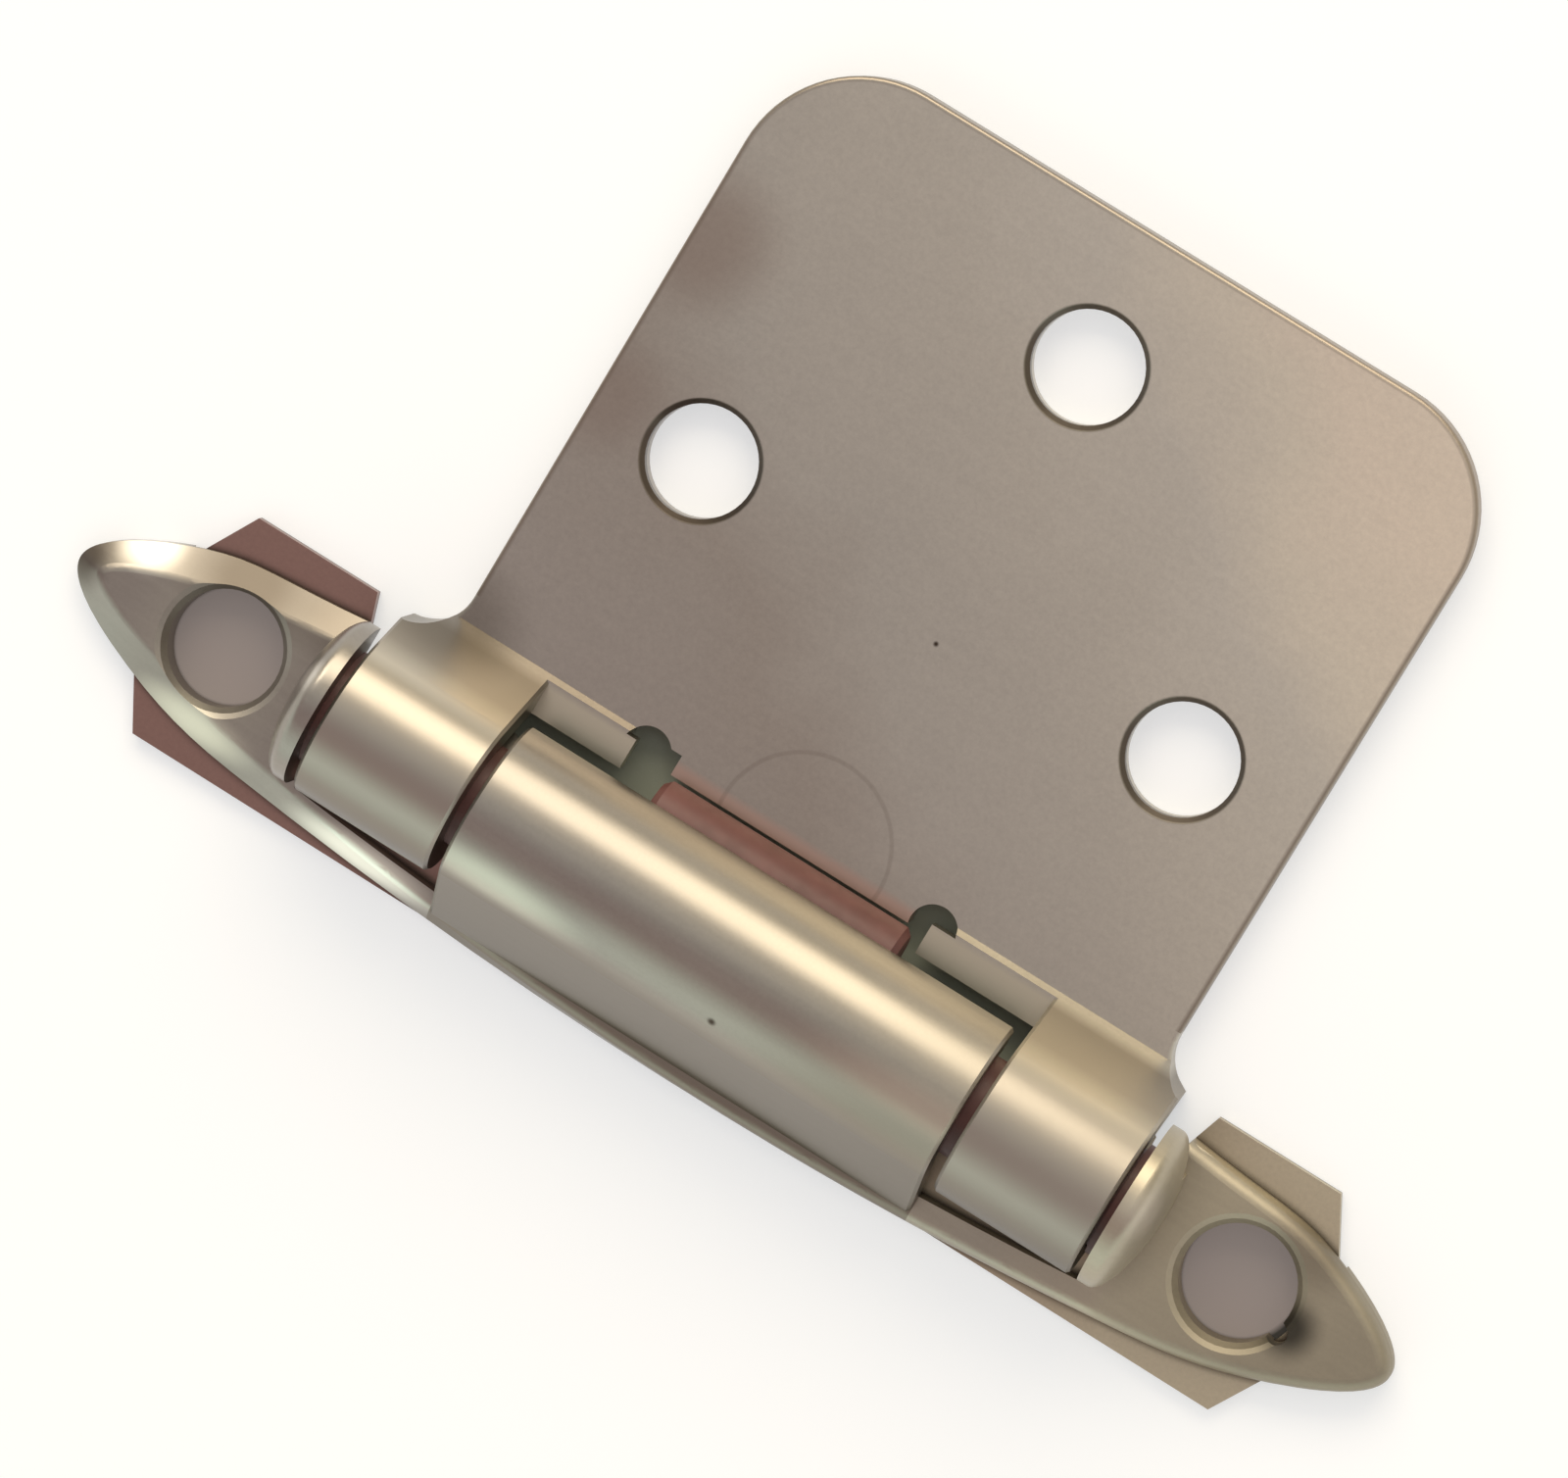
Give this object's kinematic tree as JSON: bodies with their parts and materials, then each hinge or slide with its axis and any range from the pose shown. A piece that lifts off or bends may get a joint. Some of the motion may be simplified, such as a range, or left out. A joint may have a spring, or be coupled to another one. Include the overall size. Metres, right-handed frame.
{
  "type": "self-closing cabinet door hinge",
  "caption": "Spring loaded door hinge: a flat door leaf on rolled knuckles turns on a pin held by a slim frame leaf with finial ends and a spring plate behind it.",
  "frame": {"origin": "on the cabinet face, midway between the two frame screw holes", "axes": "+X along the pin, +Y from the frame leaf towards the door leaf, +Z out from the cabinet face"},
  "size_m": [0.0698, 0.0441, 0.0083],
  "materials": {
    "satin_nickel_frame": "satin nickel plated steel, drawn and rolled",
    "satin_nickel_door": "satin nickel plated steel, flat and rolled",
    "spring_steel": "nickel plated spring steel, slightly browned",
    "pin_steel": "drawn steel wire",
    "red_nylon": "moulded nylon, dark red"
  },
  "bodies": {
    "frame": {"frame_leaf": "satin_nickel_frame", "spring_plate": "spring_steel", "hinge_pin": "pin_steel", "left_bush": "red_nylon", "right_bush": "red_nylon", "nylon_roller": "red_nylon"},
    "door": {"door_leaf": "satin_nickel_door"}
  },
  "joints": [
    {"name": "door_swing", "type": "hinge", "parent": "frame", "child": "door", "pos_m": [0, 0.0009, 0.0043], "axis": [1, 0, 0], "range_deg": [0, 110], "stiffness_Nm_per_rad": 0.12, "springref_deg": -20.05}
  ]
}
